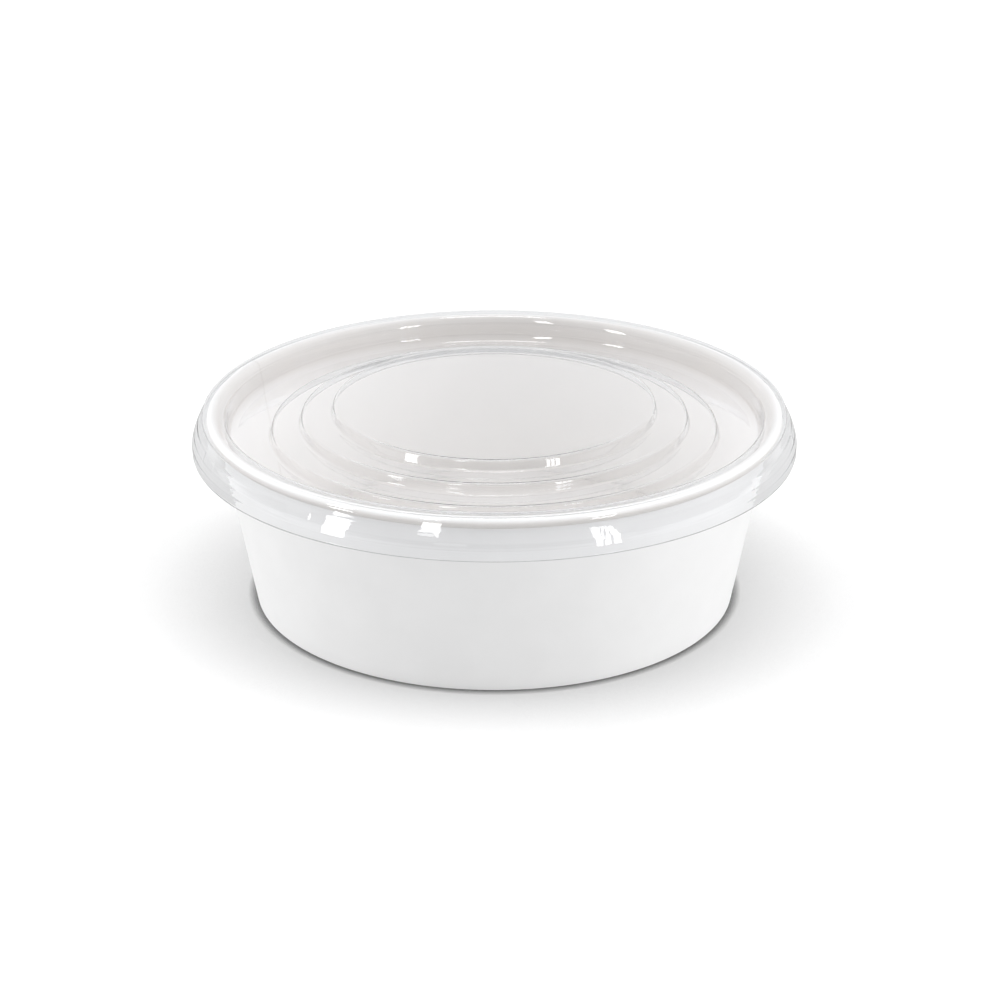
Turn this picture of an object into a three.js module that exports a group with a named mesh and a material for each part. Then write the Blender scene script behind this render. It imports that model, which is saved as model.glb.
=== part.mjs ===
// Takeaway salad bowl: a white paper bowl with a rolled rim, and its clear clip-on lid.
// Millimetres, +Z up, origin at the middle of the foot, on the surface that the bowl stands on.
// Every piece is turned about the Z axis; a profile is a list of (radius, height) points.

import * as THREE from 'three';

// Turning
const SEGMENTS = 44;               // facets round the axis; all pieces share them, so gaps stay even
const CORNER_STEPS = 2;            // straight steps in each rounded corner
const CURL_STEPS = 11;             // straight steps round the rolled rim

// Paper bowl
const FOOT_RADIUS = 77.9;          // outer face of the side wall where it meets the table
const RIM_RADIUS = 92.1;           // outermost point of the rolled rim
const RIM_TOP = 62.55;             // highest point of the rolled rim
const CURL_RADIUS = 1.75;          // the roll's outer radius
const CURL_TURN = 300;             // degrees that the board turns through in the roll
const BOARD = 0.5;                 // board thickness of the side wall
const HEM_WIDTH = 1.9;             // width of the foot ring that the turned-in wall makes
const HEM_TOP = 6.5;               // height to which the wall is turned in

// Paper base disc
const BASE_BOARD = 0.5;            // thickness of the disc
const BASE_LIFT = 6.8;             // underside of the disc above the table
const FLANGE_BOTTOM = 0.8;         // lower edge of the disc's flange inside the hem
const FLANGE_GAP = 0.25;           // free space on each side of the flange

// Clear lid
const SHEET = 0.4;                 // thickness of the formed sheet
const DISC_TOP = 64.6;             // the raised middle disc, and the highest point of all
const STEP_RISE = 3.45;            // height of each of the three concentric steps
const STEP_RADII = [51.5, 61.8, 71.3];
const RISER_DRAFT = 0.8;           // how far a riser leans out from its edge to its foot
const TROUGH_RADIUS = 84.2;        // foot of the plug wall that fits inside the bowl
const PLUG_TOP_RADIUS = 87.2;      // where the plug wall meets the crown over the rim
const CROWN_TOP = 63.35;           // flat crown that lies over the rolled rim
const SHOULDER_RADIUS = 93.65;     // outer face of the crown's shoulder
const SKIRT_TOP = 61.7;            // where the shoulder's curve passes into the skirt
const LIP_RADIUS = 97;             // outermost ring of the skirt
const LIP_TOP = 53.1;
const LIP_BOTTOM = 51.3;
const SKIRT_STEPS = 4;             // straight steps down the flared skirt
const SKIRT_BELLY = 1.6;           // power of the flare: 1 is straight, more bulges higher up
const EDGE_ROUND = 0.9;            // rounding of the steps' upper edges
const FOOT_ROUND = 0.7;            // rounding of the steps' feet
const PLUG_ROUND = 1.2;            // rounding at the plug wall's foot and head
const SHOULDER_ROUND = 1.5;        // rounding of the shoulder

const board = new THREE.MeshStandardMaterial({ color: 0xeceae8, roughness: 0.55, metalness: 0 });
const baseBoard = new THREE.MeshStandardMaterial({ color: 0xe8e5e2, roughness: 0.6, metalness: 0 });
const clearSheet = new THREE.MeshStandardMaterial({
  color: 0xe6e9ee, roughness: 0.05, metalness: 0, transparent: true, opacity: 0.35,
});

function at(radius, height) {
  return new THREE.Vector2(radius, height);
}

// A path through corners given as [radius, height, rounding]: each rounded corner becomes an arc
// that touches both of its straight runs.
function roundedPath(corners) {
  const path = [];
  corners.forEach(([radius, height, rounding], index) => {
    const corner = at(radius, height);
    if (rounding === 0) {
      path.push(corner);
      return;
    }
    const before = at(...corners[index - 1]).sub(corner).normalize();
    const after = at(...corners[index + 1]).sub(corner).normalize();
    const halfAngle = Math.acos(THREE.MathUtils.clamp(before.dot(after), -1, 1)) / 2;
    const centre = before.clone().add(after).normalize();
    centre.multiplyScalar(rounding / Math.sin(halfAngle)).add(corner);
    const run = rounding / Math.tan(halfAngle);
    const first = before.clone().multiplyScalar(run).add(corner).sub(centre);
    const last = after.clone().multiplyScalar(run).add(corner).sub(centre);
    const start = first.angle();
    const sweep = THREE.MathUtils.euclideanModulo(last.angle() - start + Math.PI, 2 * Math.PI) - Math.PI;
    for (let step = 0; step <= CORNER_STEPS; step += 1) {
      const turn = start + (sweep * step) / CORNER_STEPS;
      path.push(at(Math.cos(turn), Math.sin(turn)).multiplyScalar(rounding).add(centre));
    }
  });
  return path;
}

// The same path moved sideways by a distance, to the right of its direction.
function besidePath(path, distance) {
  return path.map((point, index) => {
    const into = point.clone().sub(path[Math.max(index - 1, 0)]);
    const out = path[Math.min(index + 1, path.length - 1)].clone().sub(point);
    if (into.length() === 0) into.copy(out);
    if (out.length() === 0) out.copy(into);
    const direction = into.normalize().add(out.normalize()).normalize();
    const stretch = 1 / direction.dot(out);
    return point.clone().add(at(direction.y, -direction.x).multiplyScalar(distance * stretch));
  });
}

function turned(name, profile, material) {
  const mesh = new THREE.Mesh(new THREE.LatheGeometry(profile, SEGMENTS), material);
  mesh.name = name;
  mesh.rotation.x = Math.PI / 2;
  return mesh;
}

// Wall slope: the outer face runs straight from the foot to the roll, which it meets side on.
const curlRadius = RIM_RADIUS - CURL_RADIUS;
const curlHeight = RIM_TOP - CURL_RADIUS;
const wallHeadRadius = curlRadius - (CURL_RADIUS - BOARD);
const wallSlope = (wallHeadRadius - FOOT_RADIUS) / curlHeight;

// The side wall is one strip of board: turned in and up at the foot, up to the rim, and rolled
// outwards there. Its path is the face that looks out and, in the roll, the face inside it.
function bowlWall() {
  const hemRadius = FOOT_RADIUS - HEM_WIDTH;
  const face = [
    at(hemRadius + wallSlope * HEM_TOP, HEM_TOP),
    at(hemRadius, 0),
    at(FOOT_RADIUS, 0),
  ];
  for (let step = 0; step <= CURL_STEPS; step += 1) {
    const turn = Math.PI - THREE.MathUtils.degToRad((CURL_TURN * step) / CURL_STEPS);
    const inside = CURL_RADIUS - BOARD;
    face.push(at(curlRadius + inside * Math.cos(turn), curlHeight + inside * Math.sin(turn)));
  }
  const back = besidePath(face, -BOARD);
  const profile = [...face, ...back.reverse(), face[0].clone()];
  return turned('bowl_wall', profile, board);
}

// The base disc lies on the hem, with its edge flange turned down into the hem's slot.
function bowlBase() {
  const wallInside = (height) => FOOT_RADIUS - BOARD + wallSlope * height;
  const hemOutside = (height) => FOOT_RADIUS - HEM_WIDTH + BOARD + wallSlope * height;
  const top = BASE_LIFT + BASE_BOARD;
  const profile = [
    at(0, BASE_LIFT),
    at(hemOutside(BASE_LIFT) + FLANGE_GAP, BASE_LIFT),
    at(hemOutside(FLANGE_BOTTOM) + FLANGE_GAP, FLANGE_BOTTOM),
    at(wallInside(FLANGE_BOTTOM) - FLANGE_GAP, FLANGE_BOTTOM),
    at(wallInside(top) - FLANGE_GAP, top),
    at(0, top),
  ];
  return turned('bowl_base', profile, baseBoard);
}

// The lid is one formed sheet: disc, three steps down to a trough, the plug wall, the crown over
// the rolled rim, and a skirt that flares to a short upright lip.
function lid() {
  const corners = [[0, DISC_TOP, 0]];
  STEP_RADII.forEach((radius, index) => {
    corners.push([radius, DISC_TOP - index * STEP_RISE, EDGE_ROUND]);
    corners.push([radius + RISER_DRAFT, DISC_TOP - (index + 1) * STEP_RISE, FOOT_ROUND]);
  });
  corners.push([TROUGH_RADIUS, DISC_TOP - STEP_RADII.length * STEP_RISE, PLUG_ROUND]);
  corners.push([PLUG_TOP_RADIUS, CROWN_TOP, PLUG_ROUND]);
  corners.push([SHOULDER_RADIUS, CROWN_TOP, SHOULDER_ROUND]);
  for (let step = 0; step <= SKIRT_STEPS; step += 1) {
    const fall = step / SKIRT_STEPS;
    const flare = 1 - (1 - fall) ** SKIRT_BELLY;
    const radius = THREE.MathUtils.lerp(SHOULDER_RADIUS, LIP_RADIUS, flare);
    corners.push([radius, THREE.MathUtils.lerp(SKIRT_TOP, LIP_TOP, fall), 0]);
  }
  corners.push([LIP_RADIUS, LIP_BOTTOM, 0]);
  const outside = roundedPath(corners);
  const inside = besidePath(outside, SHEET);
  return turned('lid', [...inside, ...outside.reverse()], clearSheet);
}

const saladBowl = new THREE.Group();
saladBowl.add(bowlWall(), bowlBase(), lid());

export default saladBowl;
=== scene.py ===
"""Takeaway salad bowl: a white paper bowl with a rolled rim, closed by its clear stepped lid.

Metres, +Z up, origin at the middle of the foot. Every piece is a turned surface: a profile of
(radius, height) points is carried round the Z axis, and all of its points are worked out at once.
"""

import logging
import math
from dataclasses import dataclass, field
from enum import Enum

import bpy
import numpy as np
from mathutils import Euler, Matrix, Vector


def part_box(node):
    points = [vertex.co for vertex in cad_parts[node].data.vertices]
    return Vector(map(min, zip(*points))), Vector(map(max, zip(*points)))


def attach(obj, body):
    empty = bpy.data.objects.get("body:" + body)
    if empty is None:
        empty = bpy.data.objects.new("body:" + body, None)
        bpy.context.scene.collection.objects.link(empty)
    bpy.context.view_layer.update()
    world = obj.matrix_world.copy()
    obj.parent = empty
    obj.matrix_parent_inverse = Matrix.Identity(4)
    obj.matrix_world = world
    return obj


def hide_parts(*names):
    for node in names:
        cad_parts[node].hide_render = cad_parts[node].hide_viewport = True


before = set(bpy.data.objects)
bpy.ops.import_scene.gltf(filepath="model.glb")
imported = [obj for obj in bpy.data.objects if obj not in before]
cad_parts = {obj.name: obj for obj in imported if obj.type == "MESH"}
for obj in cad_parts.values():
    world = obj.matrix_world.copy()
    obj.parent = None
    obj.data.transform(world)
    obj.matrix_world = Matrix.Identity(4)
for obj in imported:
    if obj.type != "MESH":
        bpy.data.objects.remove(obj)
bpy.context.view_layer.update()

BODY = "root"
FULL_TURN = 2.0 * math.pi
TINY = 1e-7                        # metres within which two points are one
NEAR_SHARE = 0.25                  # an extra point this near to an old one, in reaches, is left out
SAME_BEARING = 0.05                # two bearings this near, in halves of an edge's width, are one
CUT_EDGE = 0.5                     # a cut edge's mark, between the outer face's 1 and the inner's 0
EDGE_STATIONS = np.array([-1.6, -0.8, 0.0, 0.8, 1.6])  # across an edge, in halves of its width
NOISE_SPAN = (0.3, 0.7)            # where a noise pattern's values mostly lie
MIX_COLOURS = (6, 7)               # a Mix node's colour inputs, by number
MIX_RESULT = 2                     # and its colour output

log = logging.getLogger("salad_bowl")


# ---------------------------------------------------------------------------------------------
# Profiles and turned surfaces
# ---------------------------------------------------------------------------------------------


class Ends(Enum):
    """How a turned profile closes."""

    ON_AXIS = "both ends lie on the axis, as one point each"
    LOOP = "the last point runs on to the first"


def unit(vectors: np.ndarray) -> np.ndarray:
    """Each vector divided by its length.

    Args:
        vectors: array whose last axis holds the components.

    Returns:
        The array of unit vectors; a vector without length stays as it is.
    """
    length = np.linalg.norm(vectors, axis=-1, keepdims=True)
    return vectors / np.where(length > 0.0, length, 1.0)


def smooth_step(value: np.ndarray, low: float, high: float) -> np.ndarray:
    """Runs from 0 at low to 1 at high along 3t^2 - 2t^3, where t is the share of the way.

    Args:
        value: where to read the curve.
        low: the value at and below which it is 0.
        high: the value at and above which it is 1.

    Returns:
        An array of numbers from 0 to 1.
    """
    share = np.clip((value - low) / (high - low), 0.0, 1.0)
    return share * share * (3.0 - 2.0 * share)


def without_doubles(path: np.ndarray) -> np.ndarray:
    """The path without the points that lie on the point before them."""
    gap = np.linalg.norm(np.diff(path, axis=0), axis=1)
    return path[np.concatenate(([True], gap > TINY))]


def rounded_path(corners: np.ndarray, steps: int) -> np.ndarray:
    """A path through corners, each replaced by an arc that touches both of its straight runs.

    The arc's centre lies on the corner's bisector at rounding / sin(half the corner's angle), and
    it starts and ends rounding / tan(half the angle) away from the corner.

    Args:
        corners: rows of radius, height and rounding; the first and last have no rounding.
        steps: straight steps in each arc.

    Returns:
        The path's points, one (radius, height) row each.
    """
    point, rounding = corners[:, :2], corners[:, 2]
    inner = slice(1, -1)
    before = unit(point[:-2] - point[inner])
    after = unit(point[2:] - point[inner])
    half = np.arccos(np.clip((before * after).sum(axis=1), -1.0, 1.0)) / 2.0
    bisector = unit(before + after)
    turning = rounding[inner]
    centre = point[inner] + bisector * (turning / np.sin(half))[:, None]
    run = (turning / np.tan(half))[:, None]
    first = point[inner] + before * run - centre
    last = point[inner] + after * run - centre
    start = np.arctan2(first[:, 1], first[:, 0])
    sweep = (np.arctan2(last[:, 1], last[:, 0]) - start + math.pi) % FULL_TURN - math.pi
    turn = start[:, None] + sweep[:, None] * np.linspace(0.0, 1.0, steps + 1)
    arcs = centre[:, None] + turning[:, None, None] * np.stack((np.cos(turn), np.sin(turn)), -1)
    path = np.concatenate((point[:1], arcs.reshape(-1, 2), point[-1:]))
    return without_doubles(path)


def evened(path: np.ndarray, reach: float) -> np.ndarray:
    """The path with extra points on its long runs, so that no run is much longer than reach.

    Args:
        path: the path's points.
        reach: spacing of the extra points along the path.

    Returns:
        The old points and the new ones, in order along the path.
    """
    along = np.concatenate(([0.0], np.cumsum(np.linalg.norm(np.diff(path, axis=0), axis=1))))
    extra = np.arange(reach, along[-1] - reach / 2.0, reach)
    nearest = np.abs(extra[:, None] - along[None, :]).min(axis=1)
    extra = extra[nearest > reach * NEAR_SHARE]
    stations = np.sort(np.concatenate((along, extra)))
    return np.stack([np.interp(stations, along, path[:, axis]) for axis in (0, 1)], axis=1)


def path_normals(path: np.ndarray) -> np.ndarray:
    """Unit vectors to the right of the path at each point, halfway between its two runs there.

    Args:
        path: the path's points.

    Returns:
        One vector for each point.
    """
    run = unit(np.diff(path, axis=0))
    into = np.concatenate((run[:1], run))
    out = np.concatenate((run, run[-1:]))
    along = unit(into + out)
    return np.stack((along[:, 1], -along[:, 0]), axis=1)


def beside(path: np.ndarray, distance: float) -> np.ndarray:
    """The path moved sideways, so that its straight runs end up at that distance.

    Args:
        path: the path's points.
        distance: how far to the right of its direction.

    Returns:
        The moved points, as many as before.
    """
    run = unit(np.diff(path, axis=0))
    out = np.concatenate((run, run[-1:]))
    normal = path_normals(path)
    stretch = 1.0 / (out[:, 1] * normal[:, 0] - out[:, 0] * normal[:, 1])
    return path + normal * (distance * stretch)[:, None]


def turned(name: str, radius: np.ndarray, height: np.ndarray, bearing: np.ndarray, ends: Ends,
           marks: dict[str, np.ndarray] | None = None) -> bpy.types.Object:
    """A closed surface from a profile carried round the Z axis.

    The point of profile row i at bearing b is (radius cos b, radius sin b, height). A profile
    that runs counter-clockwise, with the radius to the right and the height up, faces outwards.

    Args:
        name: the object's name.
        radius: rows of the profile by bearings, in metres.
        height: the same grid's heights.
        bearing: the bearings in radians, rising, over less than a full turn.
        ends: how the profile closes.
        marks: named values for each point of the grid, kept as attributes for the material.

    Returns:
        The new object, with smooth shading.
    """
    rows, columns = radius.shape
    points = np.stack((radius * np.cos(bearing), radius * np.sin(bearing), height), axis=-1)
    index = np.arange(rows * columns).reshape(rows, columns)
    upper = index if ends is Ends.LOOP else index[:-1]
    lower = np.roll(index, -1, axis=0) if ends is Ends.LOOP else index[1:]
    faces = np.stack((upper, np.roll(upper, -1, axis=1), np.roll(lower, -1, axis=1), lower), -1)
    faces = faces.reshape(-1, 4)
    points = points.reshape(-1, 3)
    kept = np.ones(len(points), dtype=bool)
    if ends is Ends.ON_AXIS:
        poles = index[[0, -1]]
        faces = np.where(np.isin(faces, poles[0]), poles[0, 0], faces)
        faces = np.where(np.isin(faces, poles[1]), poles[1, 0], faces)
        kept[poles[:, 1:]] = False
    renumbered = np.cumsum(kept) - 1
    faces = renumbered[faces]
    fans = [tuple(dict.fromkeys(face)) for face in faces[:columns].tolist()]
    tails = [tuple(dict.fromkeys(face)) for face in faces[-columns:].tolist()]
    mesh = bpy.data.meshes.new(name)
    mesh.from_pydata(points[kept].tolist(), [], fans + faces[columns:-columns].tolist() + tails)
    for label, values in (marks or {}).items():
        attribute = mesh.attributes.new(label, "FLOAT", "POINT")
        attribute.data.foreach_set("value", values.reshape(-1)[kept].astype(np.float32))
    mesh.shade_smooth()
    mesh.update()
    piece = bpy.data.objects.new(name, mesh)
    bpy.context.scene.collection.objects.link(piece)
    return piece


def bearings(count: int, crisp: np.ndarray, blur: float) -> np.ndarray:
    """Even bearings round the turn, with closer ones at the bearings where something is crisp.

    Args:
        count: how many even bearings.
        crisp: bearings of edges, in radians.
        blur: half the width of an edge, in radians.

    Returns:
        The rising bearings from 0 to just under a full turn.
    """
    even = np.arange(count) * FULL_TURN / count
    close = (crisp[:, None] + blur * EDGE_STATIONS).reshape(-1) % FULL_TURN
    both = np.sort(np.concatenate((even, close)))
    return both[np.concatenate(([True], np.diff(both) > blur * SAME_BEARING))]


# ---------------------------------------------------------------------------------------------
# Finishes
# ---------------------------------------------------------------------------------------------


class Wiring:
    """A node tree with short ways to add and join its nodes."""

    def __init__(self, tree: bpy.types.NodeTree) -> None:
        """Takes the tree and empties it."""
        self.tree = tree
        self.tree.nodes.clear()

    def add(self, kind: str, **settings: object) -> bpy.types.Node:
        """A new node.

        Args:
            kind: the node's type.
            settings: properties of the node, by name.

        Returns:
            The node.
        """
        node = self.tree.nodes.new(kind)
        for label, value in settings.items():
            setattr(node, label, value)
        return node

    def feed(self, node: bpy.types.Node, **values: object) -> bpy.types.Node:
        """Sets or links a node's inputs; in a name, _ stands for a space.

        Args:
            node: the node that takes the values.
            values: a socket to link, or a value to set, for each input.

        Returns:
            The same node.
        """
        for label, value in values.items():
            socket = node.inputs[label.replace("_", " ")]
            if isinstance(value, bpy.types.NodeSocket):
                self.tree.links.new(value, socket)
            else:
                socket.default_value = value
        return node

    def noise(self, vector: bpy.types.NodeSocket, scale: object, detail: float,
              roughness: float = 0.5) -> bpy.types.NodeSocket:
        """A noise pattern's value, from 0 to 1.

        Args:
            vector: where to read it.
            scale: repeats for each metre, as a number or a socket.
            detail: how many finer layers it has.
            roughness: how strong the finer layers are.

        Returns:
            The socket with the value.
        """
        node = self.add("ShaderNodeTexNoise")
        self.feed(node, Vector=vector, Scale=scale, Detail=detail, Roughness=roughness)
        return node.outputs["Fac"]

    def remap(self, value: bpy.types.NodeSocket, source: tuple[float, float],
              target: tuple[float, float]) -> bpy.types.NodeSocket:
        """A value moved from one range to another, and held inside it.

        Args:
            value: the socket to read.
            source: the range that it comes from.
            target: the range that it goes to.

        Returns:
            The socket with the new value.
        """
        node = self.add("ShaderNodeMapRange")
        self.feed(node, Value=value, From_Min=source[0], From_Max=source[1],
                  To_Min=target[0], To_Max=target[1])
        return node.outputs["Result"]

    def mark(self, label: str) -> bpy.types.NodeSocket:
        """The value of one of the mesh's own attributes."""
        return self.add("ShaderNodeAttribute", attribute_name=label).outputs["Fac"]

    def blend(self, share: bpy.types.NodeSocket, first: object,
              second: object) -> bpy.types.NodeSocket:
        """A colour between two colours.

        Args:
            share: 0 gives the first colour and 1 the second.
            first: a colour or a socket.
            second: a colour or a socket.

        Returns:
            The socket with the colour.
        """
        node = self.add("ShaderNodeMix", data_type="RGBA")
        self.tree.links.new(share, node.inputs[0])
        for place, value in zip(MIX_COLOURS, (first, second)):
            if isinstance(value, bpy.types.NodeSocket):
                self.tree.links.new(value, node.inputs[place])
            else:
                node.inputs[place].default_value = (*value, 1.0)
        return node.outputs[MIX_RESULT]

    def math(self, operation: str, first: object, second: object) -> bpy.types.NodeSocket:
        """Two numbers joined by a sum, a product or the like.

        Args:
            operation: the Math node's operation.
            first: a number or a socket.
            second: a number or a socket.

        Returns:
            The socket with the result.
        """
        node = self.add("ShaderNodeMath", operation=operation)
        for place, value in enumerate((first, second)):
            if isinstance(value, bpy.types.NodeSocket):
                self.tree.links.new(value, node.inputs[place])
            else:
                node.inputs[place].default_value = value
        return node.outputs["Value"]

    def sum(self, first: object, second: object) -> bpy.types.NodeSocket:
        """The sum of two numbers or sockets."""
        return self.math("ADD", first, second)

    def product(self, first: object, second: object) -> bpy.types.NodeSocket:
        """The product of two numbers or sockets."""
        return self.math("MULTIPLY", first, second)

    def larger(self, first: object, second: object) -> bpy.types.NodeSocket:
        """The larger of two numbers or sockets."""
        return self.math("MAXIMUM", first, second)


def board_grain_group() -> bpy.types.ShaderNodeTree:
    """The surface of coated paper board, shared by the wall and the base.

    Returns:
        A group with the inputs Vector, Fibre Scale and Cloud Scale, and the outputs Fibre (the
        fine fibres under the coating) and Cloud (slow changes of shade), both from 0 to 1.
    """
    group = bpy.data.node_groups.new("board_grain", "ShaderNodeTree")
    wiring = Wiring(group)
    group.interface.new_socket("Vector", in_out="INPUT", socket_type="NodeSocketVector")
    for label, value in (("Fibre Scale", 1500.0), ("Cloud Scale", 70.0)):
        socket = group.interface.new_socket(label, in_out="INPUT", socket_type="NodeSocketFloat")
        socket.default_value = value
    for label in ("Fibre", "Cloud"):
        group.interface.new_socket(label, in_out="OUTPUT", socket_type="NodeSocketFloat")
    source = wiring.add("NodeGroupInput")
    target = wiring.add("NodeGroupOutput")
    place = source.outputs["Vector"]
    fibre = wiring.noise(place, source.outputs["Fibre Scale"], detail=5.0, roughness=0.62)
    cloud = wiring.noise(place, source.outputs["Cloud Scale"], detail=3.0)
    wiring.feed(target, Fibre=fibre, Cloud=cloud)
    return group


@dataclass(frozen=True)
class BoardFinish:
    """White paper board with a thin coating.

    Each colour is (red, green, blue) in linear light. The inside is the ground colour, and each
    mark lays its own colour over it, in order, where the mesh's attribute of that name is 1.
    """

    name: str
    slot: str
    inside: tuple[float, float, float]
    marks: tuple[tuple[str, tuple[float, float, float]], ...]
    cloud: tuple[float, float, float]
    roughness: tuple[float, float]
    relief: float
    fibre_scale: float
    cloud_scale: float
    cloud_depth: float
    bump: float = 0.5

    def material(self, grain: bpy.types.ShaderNodeTree) -> bpy.types.Material:
        """The finish as a material.

        Args:
            grain: the node group of board grain.

        Returns:
            A new material.
        """
        material = bpy.data.materials.new(self.name)
        material.use_nodes = True
        wiring = Wiring(material.node_tree)
        place = wiring.add("ShaderNodeTexCoord").outputs["Object"]
        texture = wiring.add("ShaderNodeGroup", node_tree=grain)
        wiring.feed(texture, Vector=place, Fibre_Scale=self.fibre_scale, Cloud_Scale=self.cloud_scale)
        face = self.inside
        for label, colour in self.marks:
            face = wiring.blend(wiring.mark(label), face, colour)
        shade = wiring.remap(texture.outputs["Cloud"], NOISE_SPAN, (0.0, self.cloud_depth))
        shaded = wiring.blend(shade, face, self.cloud)
        fibre = texture.outputs["Fibre"]
        bump = wiring.add("ShaderNodeBump")
        wiring.feed(bump, Strength=self.bump, Distance=self.relief, Height=fibre)
        shader = wiring.add("ShaderNodeBsdfPrincipled")
        wiring.feed(shader, Base_Color=shaded, Normal=bump.outputs["Normal"],
                    Roughness=wiring.remap(fibre, NOISE_SPAN, self.roughness))
        wiring.feed(wiring.add("ShaderNodeOutputMaterial"), Surface=shader.outputs["BSDF"])
        return material


@dataclass(frozen=True)
class ClearSheetFinish:
    """Clear glossy formed sheet, slightly uneven from the forming."""

    name: str
    slot: str
    colour: tuple[float, float, float]
    refraction: float
    roughness: tuple[float, float]
    ripple_scale: float
    ripple_height: float
    depth_colour: tuple[float, float, float]
    depth_density: float
    haze_scale: float = 160.0

    def material(self) -> bpy.types.Material:
        """The finish as a material; light on its way to a dull surface passes it unbent.

        Returns:
            A new material.
        """
        material = bpy.data.materials.new(self.name)
        material.use_nodes = True
        wiring = Wiring(material.node_tree)
        place = wiring.add("ShaderNodeTexCoord").outputs["Object"]
        ripple = wiring.noise(place, self.ripple_scale, detail=2.0)
        haze = wiring.noise(place, self.haze_scale, detail=3.0)
        bump = wiring.add("ShaderNodeBump")
        wiring.feed(bump, Strength=1.0, Distance=self.ripple_height, Height=ripple)
        sheet = wiring.add("ShaderNodeBsdfPrincipled")
        wiring.feed(sheet, Base_Color=(*self.colour, 1.0), IOR=self.refraction,
                    Transmission_Weight=1.0, Normal=bump.outputs["Normal"],
                    Roughness=wiring.remap(haze, NOISE_SPAN, self.roughness))
        clear = wiring.add("ShaderNodeBsdfTransparent")
        wiring.feed(clear, Color=(*self.colour, 1.0))
        path = wiring.add("ShaderNodeLightPath").outputs
        mix = wiring.add("ShaderNodeMixShader")
        unbent = wiring.larger(path["Is Shadow Ray"], path["Is Diffuse Ray"])
        wiring.tree.links.new(unbent, mix.inputs[0])
        wiring.tree.links.new(sheet.outputs["BSDF"], mix.inputs[1])
        wiring.tree.links.new(clear.outputs["BSDF"], mix.inputs[2])
        depth = wiring.add("ShaderNodeVolumeAbsorption")
        wiring.feed(depth, Color=(*self.depth_colour, 1.0), Density=self.depth_density)
        wiring.feed(wiring.add("ShaderNodeOutputMaterial"), Surface=mix.outputs["Shader"],
                    Volume=depth.outputs["Volume"])
        return material


def place_piece(piece: bpy.types.Object, node: str,
                material: bpy.types.Material) -> None:
    """Dresses a finished piece, lets it stand for its CAD node, and reports it.

    Args:
        piece: the finished object.
        node: the CAD node that it replaces.
        material: the piece's material.
    """
    piece.data.materials.append(material)
    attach(piece, BODY)
    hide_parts(node)
    size = np.round(np.ptp(np.array(piece.bound_box), axis=0) * 1000.0, 1)
    log.info("%s: %d faces, %s mm", piece.name, len(piece.data.polygons), size)


# ---------------------------------------------------------------------------------------------
# Paper bowl
# ---------------------------------------------------------------------------------------------


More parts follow.
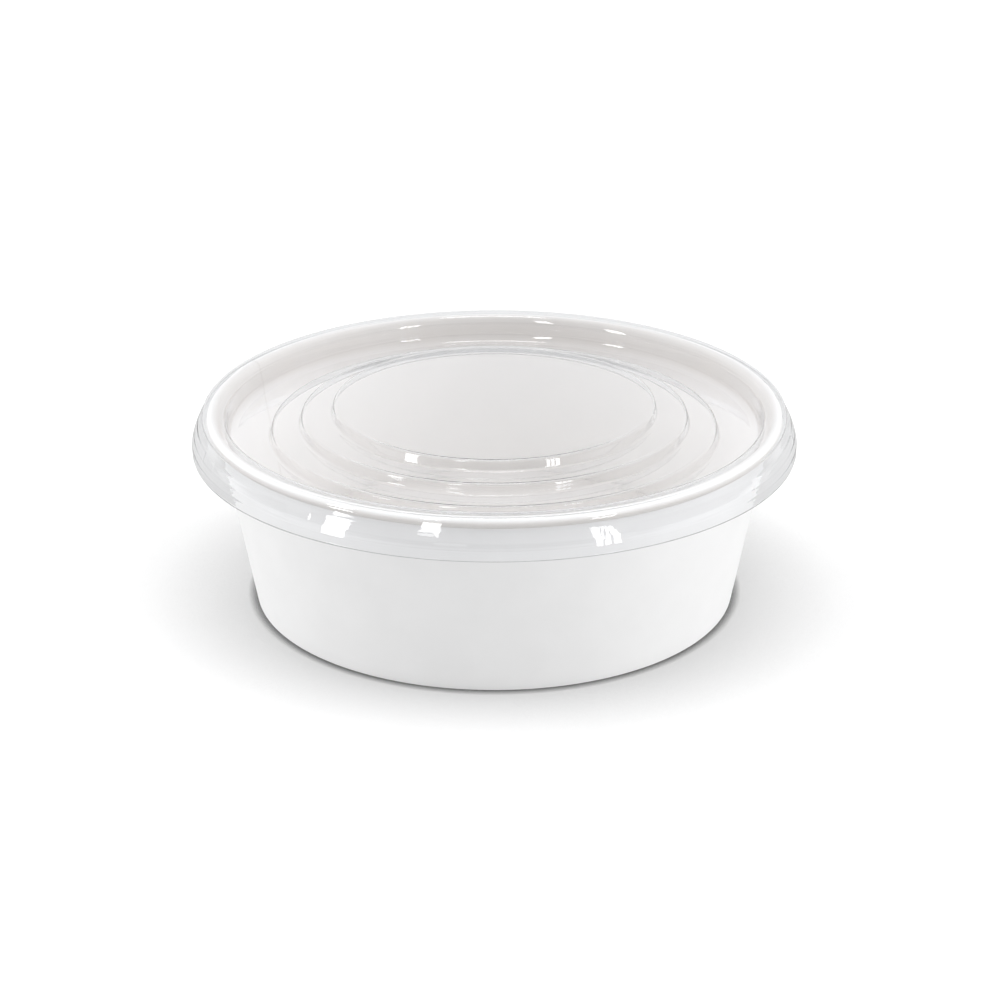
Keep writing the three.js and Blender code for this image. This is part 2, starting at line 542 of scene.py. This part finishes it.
@dataclass
class PaperBowl:
    """The paper bowl: the rolled side wall with its overlap seam, and the recessed base.

    The reaches, and the height over which the painted shade under the roll fades, are given in curl
    radii from the roll's centre.
    """

    foot_radius: float = 0.0779
    rim_radius: float = field(default_factory=lambda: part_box("bowl_wall")[1].x)
    rim_top: float = field(default_factory=lambda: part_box("bowl_wall")[1].z)
    curl_radius: float = 0.00175
    curl_turn: float = math.radians(300.0)
    curl_steps: int = 30
    # The wall's marks paint light on the roll ('rim'), shade under it ('under'), and shade on the
    # inner face near the top ('upper').
    roll_reach: tuple[float, float] = (1.02, 1.1)
    rim_light_facing_reach: tuple[float, float] = (-1.0, 0.5)
    under_shade_height: float = 0.75
    upper_shade_heights: tuple[float, float] = (0.047, 0.061)
    rim_light_inward: float = 0.4
    painted_wall_shade: float = 0.4
    painted_wall_shade_heights: tuple[float, float] = (0.0535, 0.0585)
    board: float = 0.0005
    hem_width: float = 0.0019
    hem_top: float = 0.0065
    still_height: float = 0.001625
    fold_round: float = 0.0004
    cut_round: float = 0.00012
    corner_steps: int = 4
    run_reach: float = 0.004
    seam_bearing: float = math.radians(153.0)
    seam_width: float = math.radians(6.2)
    seam_rise: float = 0.00022
    seam_ramp: float = math.radians(1.6)
    edge_blur: float = math.radians(0.06)
    columns: int = 384
    base_board: float = 0.0005
    base_lift: float = 0.0068
    flange_bottom: float = 0.0008
    flange_gap: float = 0.00025
    base_round: float = 0.0006

    @property
    def curl_centre(self) -> tuple[float, float]:
        """Radius and height of the middle of the rolled rim."""
        return self.rim_radius - self.curl_radius, self.rim_top - self.curl_radius

    @property
    def slope(self) -> float:
        """How far the side wall leans out for each metre of height."""
        radius, height = self.curl_centre
        return (radius - (self.curl_radius - self.board) - self.foot_radius) / height

    def wall_path(self) -> np.ndarray:
        """The board's outward face, from the hem's top round the foot and up into the roll.

        The roll is an arc of the board's inner radius, which starts level with its centre, where
        the straight wall meets it side on, and turns outwards and down.

        Returns:
            The path's points.
        """
        hem = self.foot_radius - self.hem_width
        radius, height = self.curl_centre
        bend = self.curl_radius - self.board
        turn = math.pi - self.curl_turn * np.linspace(0.0, 1.0, self.curl_steps + 1)
        roll = np.stack((radius + bend * np.cos(turn), height + bend * np.sin(turn)), axis=1)
        folded = rounded_path(np.array([
            (hem + self.slope * self.hem_top, self.hem_top, 0.0),
            (hem, 0.0, self.fold_round),
            (self.foot_radius, 0.0, self.fold_round),
            (*roll[0], 0.0),
        ]), self.corner_steps)
        return np.concatenate((evened(folded, self.run_reach)[:-1], roll))

    def seam(self, bearing: np.ndarray, outward: bool) -> np.ndarray:
        """How far the overlap seam lifts one face of the board, from 0 to 1.

        One end of the strip lies under the other. Seen from the face where an end lies on top,
        its cut edge is a crisp step, and the other side of the overlap is a soft ramp.

        Args:
            bearing: bearings in radians.
            outward: True for the outer face, whose cut edge is at the end of the overlap.

        Returns:
            The lift at each bearing.
        """
        start, end = self.seam_bearing, self.seam_bearing + self.seam_width
        blur, ramp = self.edge_blur, self.seam_ramp
        if outward:
            rise = smooth_step(bearing, start - ramp, start + ramp)
            return rise * (1.0 - smooth_step(bearing, end - blur, end + blur))
        rise = smooth_step(bearing, start - blur, start + blur)
        return rise * (1.0 - smooth_step(bearing, end - ramp, end + ramp))

    def wall(self, material: bpy.types.Material, slot: str) -> bpy.types.Object:
        """The side wall: the board's two faces, closed at both cut edges, and its seam.

        Args:
            material: the board's material.
            slot: not used.

        Returns:
            The finished piece.
        """
        face = self.wall_path()
        back = beside(face, -self.board)
        cut = self.cut_round
        ends = [self.cut_edge(face[-1], back[-1], cut), self.cut_edge(back[0], face[0], cut)]
        profile = np.concatenate((face[1:-1], ends[0], back[::-1][1:-1], ends[1]))
        outward = np.concatenate((np.ones(len(face) - 2), np.full(len(ends[0]), CUT_EDGE),
                                  np.zeros(len(back) - 2), np.full(len(ends[1]), CUT_EDGE)))
        cut_mark = np.zeros(len(profile))
        cut_mark[len(face) - 2:len(face) - 2 + len(ends[0])] = 1.0
        cut_mark[-len(ends[1]):] = 1.0
        edges = self.seam_bearing + np.array([0.0, self.seam_width])
        bearing = bearings(self.columns, edges, self.edge_blur)
        closed = np.concatenate((profile[-1:], profile, profile[:1]))
        normal = path_normals(closed)[1:-1]
        lift = np.where(outward[:, None] > CUT_EDGE, self.seam(bearing, True),
                        self.seam(bearing, False))
        lift = lift * self.seam_rise * (outward[:, None] != CUT_EDGE)
        radius = profile[:, :1] + normal[:, :1] * lift
        lift = np.where(profile[:, 1:] < self.still_height, 0.0, lift)
        height = profile[:, 1:] + normal[:, 1:] * lift
        whole = np.ones(len(bearing))
        # 'rim' paints light on the roll; 'under' paints shade under it and faintly down the outer
        # face.
        marks = self.roll_light_and_shade_marks(profile, outward == 1.0)
        marks = {label: mark[:, None] * whole for label, mark in marks.items()}
        marks["outside"] = outward[:, None] * whole
        # 'upper' paints shade on the inner face, darker towards the top of the wall.
        marks["upper"] = smooth_step(profile[:, 1:], *self.upper_shade_heights) * whole
        # 'cut' colours the board's cut edges, and a dark line along the seam's crisp step on the
        # inner face: the raw edge's colour with painted shadow of the step.
        off_seam = np.abs(bearing - self.seam_bearing)
        seam_edge_and_shadow_line = 1.0 - smooth_step(off_seam, self.edge_blur, self.edge_blur * 2.0)
        marks["cut"] = np.maximum(cut_mark[:, None], (outward == 0.0)[:, None] * seam_edge_and_shadow_line)
        piece = turned("side_wall", radius, height, bearing, Ends.LOOP, marks)
        place_piece(piece, "bowl_wall", material)
        return piece

    def roll_light_and_shade_marks(self, profile: np.ndarray, outside: np.ndarray) -> dict[str, np.ndarray]:
        """Painted light for the roll and painted shade for what lies under it, from each point's
        place round its centre.

        Args:
            profile: the wall's points.
            outside: True for the points of the outward face.

        Returns:
            'rim', painted light that makes the roll lighter and is weaker on the side that faces
            into the bowl, and 'under', painted shade on the roll's lower outer side, which goes
            on more faintly down the outer face.
        """
        place = (profile - np.array(self.curl_centre)) / self.curl_radius
        off_centre = np.linalg.norm(place, axis=1)
        # Painted light of the rim: near the roll, weaker on its inward side.
        near = 1.0 - smooth_step(off_centre, *self.roll_reach)
        rim_light_facing_out = smooth_step(place[:, 0], *self.rim_light_facing_reach)
        # Painted shade: the roll's lower outer half, and faintly the outer wall just under the roll.
        outer = (place[:, 0] > 0.0) & (off_centre < self.roll_reach[0])
        fall = 1.0 - smooth_step(place[:, 1], 0.0, self.under_shade_height)
        below = self.painted_wall_shade * smooth_step(profile[:, 1], *self.painted_wall_shade_heights)
        below = below * outside * (off_centre > 1.0)
        return {"rim": near * (self.rim_light_inward + (1.0 - self.rim_light_inward) * rim_light_facing_out),
                "under": np.maximum(outer * fall, below)}

    @staticmethod
    def cut_edge(start: np.ndarray, end: np.ndarray, rounding: float) -> np.ndarray:
        """The points across a cut edge, a little rounded at both of its corners.

        Args:
            start: the corner that the edge starts at.
            end: the corner that it ends at.
            rounding: how far the corners are drawn in.

        Returns:
            Four points from start to end.
        """
        along = unit(end - start)
        outward = np.array([along[1], -along[0]])
        near = start - outward * rounding
        far = end - outward * rounding
        return np.stack((near, start + along * rounding, end - along * rounding, far))

    def base(self, material: bpy.types.Material) -> bpy.types.Object:
        """The base disc on the hem, with its flange turned down between the hem and the wall.

        Args:
            material: the board's material.

        Returns:
            The finished piece.
        """
        wall = self.foot_radius - self.board - self.flange_gap
        hem = self.foot_radius - self.hem_width + self.board + self.flange_gap
        low, top = self.flange_bottom, self.base_lift + self.base_board
        corners = np.array([
            (0.0, self.base_lift, 0.0),
            (hem + self.slope * self.base_lift, self.base_lift, self.base_round / 4.0),
            (hem + self.slope * low, low, self.cut_round),
            (wall + self.slope * low, low, self.cut_round),
            (wall + self.slope * top, top, self.base_round),
            (0.0, top, 0.0),
        ])
        profile = evened(rounded_path(corners, self.corner_steps), self.run_reach)
        bearing = bearings(self.columns, np.zeros(0), self.edge_blur)
        whole = np.ones((1, len(bearing)))
        upper = (profile[:, 1] > self.base_lift + self.base_board / 2.0)[:, None]
        marks = {"outside": 1.0 - upper * whole}
        piece = turned("base_disc", profile[:, :1] * whole, profile[:, 1:] * whole, bearing,
                       Ends.ON_AXIS, marks)
        place_piece(piece, "bowl_base", material)
        return piece


# ---------------------------------------------------------------------------------------------
# Clear lid
# ---------------------------------------------------------------------------------------------


@dataclass
class ClearLid:
    """The clear lid: disc, three steps, trough, plug wall, crown over the rim, flared skirt.

    Each bead is a faint ring round the skirt, given as (height, width, rise).
    """

    sheet: float = 0.0004
    skirt_inset: float = 0.0006
    disc_top: float = field(default_factory=lambda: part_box("lid")[1].z)
    lip_radius: float = field(default_factory=lambda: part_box("lid")[1].x)
    lip_bottom: float = field(default_factory=lambda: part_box("lid")[0].z)
    step_rise: float = 0.00345
    step_radii: tuple[float, ...] = (0.0515, 0.0618, 0.0713)
    riser_draft: float = 0.0008
    plug_radius: float = 0.0857
    crown_top: float = 0.06335
    shoulder_radius: float = 0.09365
    skirt_top: float = 0.0617
    lip_top: float = 0.0531
    skirt_belly: float = 1.6
    skirt_steps: int = 38
    edge_round: float = 0.0012
    foot_round: float = 0.0009
    plug_top_round: float = 0.0032
    plug_foot_round: float = 0.0030
    shoulder_round: float = 0.0015
    corner_steps: int = 7
    run_reach: float = 0.006
    columns: int = 240
    beads: tuple[tuple[float, float, float], ...] = (
        (0.0592, 0.0005, 0.00005), (0.0565, 0.0004, 0.00003), (0.0541, 0.0004, 0.00005),
    )
    lug_count: int = 12
    lug_bearing: float = math.radians(-90.0 - 7.5)
    lug_low: float = 0.0564
    lug_high: float = 0.0588
    lug_width: float = 0.0095
    lug_depth: float = 0.00009
    lug_blur: float = 0.0007

    def outer_path(self) -> np.ndarray:
        """The sheet's upper face from the axis to the lip.

        The skirt's flare is 1 - (1 - fall)^belly, where fall is the share of the way down.

        Returns:
            The path's points.
        """
        corners = [(0.0, self.disc_top, 0.0)]
        for index, radius in enumerate(self.step_radii):
            level = self.disc_top - index * self.step_rise
            corners.append((radius, level, self.edge_round))
            corners.append((radius + self.riser_draft, level - self.step_rise, self.foot_round))
        floor = self.disc_top - len(self.step_radii) * self.step_rise
        corners.append((self.plug_radius, floor, self.plug_foot_round))
        corners.append((self.plug_radius, self.crown_top, self.plug_top_round))
        corners.append((self.shoulder_radius, self.crown_top, self.shoulder_round))
        corners.append((self.shoulder_radius, self.skirt_top, 0.0))
        formed = evened(rounded_path(np.array(corners), self.corner_steps), self.run_reach)
        fall = np.linspace(0.0, 1.0, self.skirt_steps + 1)
        flare = 1.0 - (1.0 - fall) ** self.skirt_belly
        skirt = np.stack((
            self.shoulder_radius + (self.lip_radius - self.shoulder_radius) * flare,
            self.skirt_top + (self.lip_top - self.skirt_top) * fall,
        ), axis=1)
        lip = np.array([
            (self.lip_radius, self.lip_bottom + self.sheet),
            (self.lip_radius, self.lip_bottom),
        ])
        return without_doubles(np.concatenate((formed, skirt, lip)))

    def lug_lift(self, height: np.ndarray, bearing: np.ndarray) -> np.ndarray:
        """How far the shallow snap lugs stand out of the skirt, from 0 to 1.

        Each lug is a rectangle of smooth steps in height and along the skirt's turn.

        Args:
            height: heights of the skirt's rows.
            bearing: bearings of its columns.

        Returns:
            The lift for each row and column.
        """
        pitch = FULL_TURN / self.lug_count
        offset = (bearing - self.lug_bearing + pitch / 2.0) % pitch - pitch / 2.0
        along = np.abs(offset) * self.lip_radius
        half, blur = self.lug_width / 2.0, self.lug_blur
        across = 1.0 - smooth_step(along, half - blur, half + blur)
        up = smooth_step(height, self.lug_low - blur, self.lug_low + blur)
        down = 1.0 - smooth_step(height, self.lug_high - blur, self.lug_high + blur)
        return (up * down)[:, None] * across[None, :]

    def build(self, material: bpy.types.Material, slot: str) -> bpy.types.Object:
        """The formed sheet's two faces, joined at the lip.

        Args:
            material: the sheet's material.
            slot: not used.

        Returns:
            The finished piece.
        """
        upper = self.outer_path()
        under = beside(upper, self.sheet)
        under[0, 0] = 0.0
        profile = np.concatenate((under, upper[::-1]))
        pitch = FULL_TURN / self.lug_count
        lug = self.lug_bearing + pitch * np.arange(self.lug_count)
        half = self.lug_width / 2.0 / self.lip_radius
        crisp = np.concatenate((lug - half, lug + half))
        bearing = bearings(self.columns, crisp, self.lug_blur / self.lip_radius)
        skirt = profile[:, :1] > self.shoulder_radius - self.skirt_inset
        lift = self.lug_lift(profile[:, 1], bearing) * skirt * self.lug_depth
        for middle, width, rise in self.beads:
            bead = np.exp(-((profile[:, 1:] - middle) / width) ** 2)
            lift = lift + bead * skirt * rise
        radius = profile[:, :1] + lift
        height = np.repeat(profile[:, 1:], len(bearing), axis=1)
        piece = turned("clear_lid", radius, height, bearing, Ends.ON_AXIS)
        place_piece(piece, "lid", material)
        return piece


# ---------------------------------------------------------------------------------------------
# Studio
# ---------------------------------------------------------------------------------------------


@dataclass(frozen=True)
class SoftBox:
    """A rectangular lamp that faces a point and shows only in what glossy surfaces reflect.

    Bearing and elevation are in degrees. The bearing is measured from the camera's side, and is
    positive to the right as the camera sees it.
    """

    name: str
    bearing: float
    elevation: float
    distance: float
    width: float
    length: float
    radiance: float
    aim: tuple[float, float, float] = (0.0, 0.0, 0.06)

    def build(self) -> bpy.types.Object:
        """The lamp as an object.

        A lamp of even radiance L and area A sends out L pi A watts from its front.

        Returns:
            The new lamp.
        """
        lamp = bpy.data.lights.new(self.name, "AREA")
        lamp.shape = "RECTANGLE"
        lamp.size, lamp.size_y = self.width, self.length
        lamp.energy = self.radiance * math.pi * self.width * self.length
        holder = bpy.data.objects.new(self.name, lamp)
        turn, rise = math.radians(self.bearing), math.radians(self.elevation)
        level = math.cos(rise)
        away = Vector((math.sin(turn) * level, -math.cos(turn) * level, math.sin(rise)))
        holder.location = Vector(self.aim) + away * self.distance
        holder.rotation_euler = (-away).to_track_quat("-Z", "Y").to_euler()
        holder.visible_camera = False
        holder.visible_diffuse = False
        bpy.context.scene.collection.objects.link(holder)
        return holder


@dataclass(frozen=True)
class Surroundings:
    """The light that comes from all round: one field for dull surfaces, one for reflections.

    The dull field is brighter at the two sides than in front and behind. The reflected field has
    a lit horizon with a dim band over it, and is brighter higher up, most of all behind. An edge
    or span is the range of a direction's height, or of how far behind it points, that a change
    of the field takes.
    """

    front: float = 0.415
    sides: float = 3.4
    zenith: float = 0.52
    turn: float = math.radians(-8.0)
    low: tuple[float, float, float] = (0.37, 0.36, 0.35)
    high: float = 0.8
    behind: float = 0.95
    high_span: tuple[float, float] = (-0.4, 0.6)
    side_power: float = 4.0
    low_edge: tuple[float, float] = (0.16, 0.36)
    horizon: float = 1.1
    horizon_edge: tuple[float, float] = (0.06, 0.13)
    behind_edge: tuple[float, float] = (0.35, 0.75)

    def dull_field(self, wiring: Wiring, axes: bpy.types.Node) -> bpy.types.NodeSocket:
        """front + sides s^power + zenith z, where s is how far to the side and z how high it is.

        Args:
            wiring: the world's node tree.
            axes: the node with the direction's parts.

        Returns:
            The socket with the field.
        """
        across = wiring.sum(wiring.product(axes.outputs["X"], math.cos(self.turn)),
                            wiring.product(axes.outputs["Y"], math.sin(self.turn)))
        side = wiring.math("POWER", wiring.math("ABSOLUTE", across, 0.0), self.side_power)
        side = wiring.product(side, self.sides)
        up = wiring.product(wiring.remap(axes.outputs["Z"], (0.0, 1.0), (0.0, 1.0)), self.zenith)
        return wiring.sum(wiring.sum(side, up), self.front)

    def reflected_field(self, wiring: Wiring, axes: bpy.types.Node) -> bpy.types.NodeSocket:
        """The lit horizon, the dim band over it, and the brighter part above that.

        Args:
            wiring: the world's node tree.
            axes: the node with the direction's parts.

        Returns:
            The socket with the field's colour.
        """
        high = wiring.remap(axes.outputs["Y"], self.high_span, (self.high, self.behind))
        up = wiring.remap(axes.outputs["Z"], self.low_edge, (0.0, 1.0))
        back = wiring.remap(axes.outputs["Y"], self.behind_edge, (0.0, 1.0))
        field = wiring.blend(wiring.larger(up, back), self.low, high)
        return wiring.blend(wiring.remap(axes.outputs["Z"], self.horizon_edge, (1.0, 0.0)), field,
                            (self.horizon,) * 3)

    def build(self) -> None:
        """Makes the world; a ray straight from the camera sees plain white."""
        world = bpy.data.worlds.new("surroundings")
        bpy.context.scene.world = world
        world.use_nodes = True
        wiring = Wiring(world.node_tree)
        axes = wiring.add("ShaderNodeSeparateXYZ")
        wiring.feed(axes, Vector=wiring.add("ShaderNodeTexCoord").outputs["Generated"])
        path = wiring.add("ShaderNodeLightPath").outputs
        glossy = wiring.larger(path["Is Glossy Ray"], path["Is Transmission Ray"])
        seen = wiring.blend(glossy, self.dull_field(wiring, axes), self.reflected_field(wiring, axes))
        seen = wiring.blend(path["Is Camera Ray"], seen, (1.0, 1.0, 1.0))
        light = wiring.add("ShaderNodeBackground")
        wiring.feed(light, Color=seen, Strength=1.0)
        wiring.feed(wiring.add("ShaderNodeOutputWorld"), Surface=light.outputs["Background"])


@dataclass(frozen=True)
class PaleFloor:
    """The pale floor, with a close soft shadow painted into its colour round what stands on it.

    The shadow's depth follows how much of the sky nearby things hide from the floor: a wide part
    and a narrow contact line. Bounced and through are the floor's shade as dull surfaces and
    reflections see it.
    """

    size: float = 12.0
    bounced: float = 0.62
    through: float = 0.68
    shadow_reach: float = 0.075
    open_share: tuple[float, float] = (0.42, 0.86)
    shade: tuple[float, float] = (0.56, 1.13)
    contact_reach: float = 0.0032
    contact_share: tuple[float, float] = (0.48, 0.98)
    contact_shade: tuple[float, float] = (0.12, 1.0)
    rays: int = 3

    def build(self) -> bpy.types.Object:
        """The floor, marked as stage.

        Returns:
            The new object.
        """
        half = self.size / 2.0
        mesh = bpy.data.meshes.new("floor")
        corners = [(-half, -half, 0.0), (half, -half, 0.0), (half, half, 0.0), (-half, half, 0.0)]
        mesh.from_pydata(corners, [], [(0, 1, 2, 3)])
        piece = bpy.data.objects.new("floor", mesh)
        mesh.materials.append(self.material())
        bpy.context.scene.collection.objects.link(piece)
        return piece

    def material(self) -> bpy.types.Material:
        """Dull white, overexposed where nothing shades it.

        Returns:
            The new material.
        """
        material = bpy.data.materials.new("floor")
        material.use_nodes = True
        wiring = Wiring(material.node_tree)
        shade = self.hidden_share(wiring, self.shadow_reach, self.open_share, self.shade)
        contact = self.hidden_share(wiring, self.contact_reach, self.contact_share,
                                    self.contact_shade)
        path = wiring.add("ShaderNodeLightPath").outputs
        unseen = wiring.blend(path["Is Diffuse Ray"], (self.through,) * 3, (self.bounced,) * 3)
        shader = wiring.add("ShaderNodeBsdfDiffuse")
        # The camera sees the painted shadow: the floor's colour times the two shades from the hidden
        # sky.
        colour = wiring.blend(path["Is Camera Ray"], unseen, wiring.product(shade, contact))
        wiring.feed(shader, Color=colour)
        wiring.feed(wiring.add("ShaderNodeOutputMaterial"), Surface=shader.outputs["BSDF"])
        return material

    def hidden_share(self, wiring: Wiring, reach: float, source: tuple[float, float],
                     target: tuple[float, float]) -> bpy.types.NodeSocket:
        """A shade from how open the sky is above the floor within a distance.

        Args:
            wiring: the floor's node tree.
            reach: how far away a thing still counts.
            source: the open shares between which the shade changes.
            target: the shades there.

        Returns:
            The socket with the shade.
        """
        hidden = wiring.add("ShaderNodeAmbientOcclusion", samples=self.rays)
        wiring.feed(hidden, Distance=reach)
        return wiring.remap(hidden.outputs["AO"], source, target)


@dataclass(frozen=True)
class Studio:
    """The floor, the surroundings, the lamps and the camera."""

    camera_elevation: float = math.radians(23.02)
    camera_distance: float = 0.85569
    camera_target: tuple[float, float, float] = (0.00179, 0.0, 0.02963)
    lens: float = 94.483
    sensor: float = 36.0
    bounces: int = 9
    transparent_bounces: int = 16
    lamps: tuple[SoftBox, ...] = (
        SoftBox("tall_left", -57.0, 13.0, 1.1, 0.17, 0.55, 6.5),
        SoftBox("tall_right_a", 35.9, 13.0, 1.1, 0.042, 0.55, 6.5),
        SoftBox("tall_right_b", 39.3, 13.0, 1.1, 0.042, 0.55, 6.5),
        SoftBox("tall_right_c", 42.7, 13.0, 1.1, 0.042, 0.55, 6.5),
        SoftBox("narrow_front", -24.0, 34.0, 1.1, 0.12, 0.5, 6.0),
        SoftBox("overhead", 180.0, 80.0, 1.2, 0.35, 0.14, 6.0),
    )

    def camera(self) -> bpy.types.Object:
        """The camera at the photograph's viewing angle.

        Returns:
            The camera, which is the scene's.
        """
        data = bpy.data.cameras.new("camera")
        data.lens = self.lens
        data.sensor_width = self.sensor
        holder = bpy.data.objects.new("camera", data)
        tilt = self.camera_elevation
        back = Vector((0.0, -math.cos(tilt), math.sin(tilt)))
        holder.location = Vector(self.camera_target) + back * self.camera_distance
        holder.rotation_euler = Euler((math.pi / 2.0 - tilt, 0.0, 0.0))
        bpy.context.scene.collection.objects.link(holder)
        bpy.context.scene.camera = holder
        return holder

    def build(self) -> None:
        """Makes everything and sets how colours are shown."""
        self.camera()
        PaleFloor().build()
        Surroundings().build()
        for lamp in self.lamps:
            lamp.build()
        scene = bpy.context.scene
        scene.view_settings.view_transform = "Standard"
        scene.cycles.transparent_max_bounces = self.transparent_bounces
        scene.cycles.max_bounces = self.bounces
        scene.cycles.transmission_bounces = self.bounces


# ---------------------------------------------------------------------------------------------
# Assembly
# ---------------------------------------------------------------------------------------------

WALL_BOARD = BoardFinish(
    name="wall_board", slot="paper_wall",
    inside=(0.865, 0.848, 0.828),
    marks=(
        # painted shade: the inner face darker towards the top
        ("upper", (0.51, 0.468, 0.425)),
        ("outside", (0.88, 0.88, 0.88)),
        # painted light: the roll lighter than the rest of the board
        ("rim", (0.97, 0.965, 0.95)),
        # painted shade under the roll
        ("under", (0.70, 0.67, 0.64)),
        # the raw cut edge's own colour, also painted shadow along the seam's step
        ("cut", (0.42, 0.39, 0.35)),
    ),
    cloud=(0.704, 0.704, 0.704),
    roughness=(0.42, 0.58), relief=0.00002, fibre_scale=1500.0, cloud_scale=70.0, cloud_depth=0.12,
)
BASE_BOARD = BoardFinish(
    name="base_board", slot="paper_base",
    inside=(0.85, 0.823, 0.797),
    marks=(("outside", (0.86, 0.86, 0.86)),),
    cloud=(0.688, 0.688, 0.688),
    roughness=(0.5, 0.65), relief=0.00003, fibre_scale=1300.0, cloud_scale=60.0, cloud_depth=0.12,
)
CLEAR_SHEET = ClearSheetFinish(
    name="clear_sheet", slot="clear_lid", colour=(0.99, 0.992, 0.996), refraction=1.575,
    roughness=(0.01, 0.03), ripple_scale=40.0, ripple_height=0.00002,
    depth_colour=(0.80, 0.83, 0.93), depth_density=100.0,
)


def main() -> None:
    logging.basicConfig(level=logging.INFO, format="%(name)s: %(message)s")
    grain = board_grain_group()
    bowl = PaperBowl()
    bowl.wall(WALL_BOARD.material(grain), WALL_BOARD.slot)
    bowl.base(BASE_BOARD.material(grain))
    ClearLid().build(CLEAR_SHEET.material(), CLEAR_SHEET.slot)
    Studio().build()


if __name__ == "__main__":
    main()
